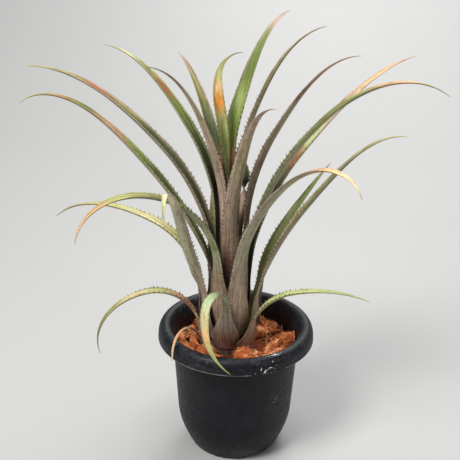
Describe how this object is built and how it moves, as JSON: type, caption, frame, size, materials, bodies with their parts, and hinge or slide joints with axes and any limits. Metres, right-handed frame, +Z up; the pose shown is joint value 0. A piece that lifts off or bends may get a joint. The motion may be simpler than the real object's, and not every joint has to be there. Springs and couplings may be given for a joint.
{
  "type": "potted bromeliad",
  "caption": "Upright bromeliad rosette with long channelled arching leaves, growing in coconut husk in a round black plastic nursery pot with a rolled rim",
  "frame": {"origin": "centre of the flat pad under the pot's floor, on the ground plane", "axes": "+Z up along the pot's axis, front of the plant towards -Y"},
  "size_m": [0.3626, 0.1857, 0.4185],
  "materials": {
    "pot_plastic": "matte charcoal black, satin on the rim",
    "coir": "damp fibrous coir, matte",
    "husk": "orange-brown coconut husk, rough",
    "stock": "dry brown, hidden in the sheaths",
    "leaf_mauve": "grey-mauve outside with silvery scurf, dark olive in the channel",
    "leaf_olive": "olive green channel, brownish outside",
    "leaf_green": "bright green channel",
    "leaf_pale": "pale yellow-green, old leaf",
    "leaf_dry": "dry, tan-pink"
  },
  "bodies": {
    "root": {"pot": "pot_plastic", "coir_bed": "coir", "stem_stock": "stock", "leaf_heart_left": "leaf_olive", "leaf_heart_tall": "leaf_green", "leaf_inner_left": "leaf_mauve", "leaf_inner_back_left": "leaf_mauve", "leaf_inner_right": "leaf_mauve", "leaf_inner_front": "leaf_mauve", "leaf_rear_upper": "leaf_mauve", "leaf_upper_left": "leaf_olive", "leaf_upper_right": "leaf_mauve", "leaf_wide_left": "leaf_mauve", "leaf_wide_right": "leaf_olive", "leaf_low_left": "leaf_olive", "leaf_wide_back_right": "leaf_mauve", "leaf_front_left": "leaf_olive", "leaf_rear_middle": "leaf_mauve", "leaf_front_right": "leaf_mauve", "leaf_rear_left": "leaf_mauve", "leaf_mid_right": "leaf_mauve", "leaf_front_near": "leaf_mauve", "leaf_rear_low": "leaf_mauve", "leaf_mid_back_right": "leaf_green", "leaf_outer_left": "leaf_pale", "leaf_hooked": "leaf_pale", "leaf_outer_right": "leaf_pale", "leaf_bottom_left": "leaf_pale", "leaf_withered": "leaf_dry", "husk_chip_01": "husk", "husk_chip_02": "husk", "husk_chip_03": "husk", "husk_chip_04": "husk", "husk_chip_05": "husk", "husk_chip_06": "husk", "husk_chip_07": "husk", "husk_chip_08": "husk", "husk_chip_09": "husk", "husk_chip_10": "husk", "husk_chip_11": "husk", "husk_chip_12": "husk", "husk_chip_13": "husk", "husk_chip_14": "husk", "husk_chip_15": "husk"}
  },
  "joints": []
}
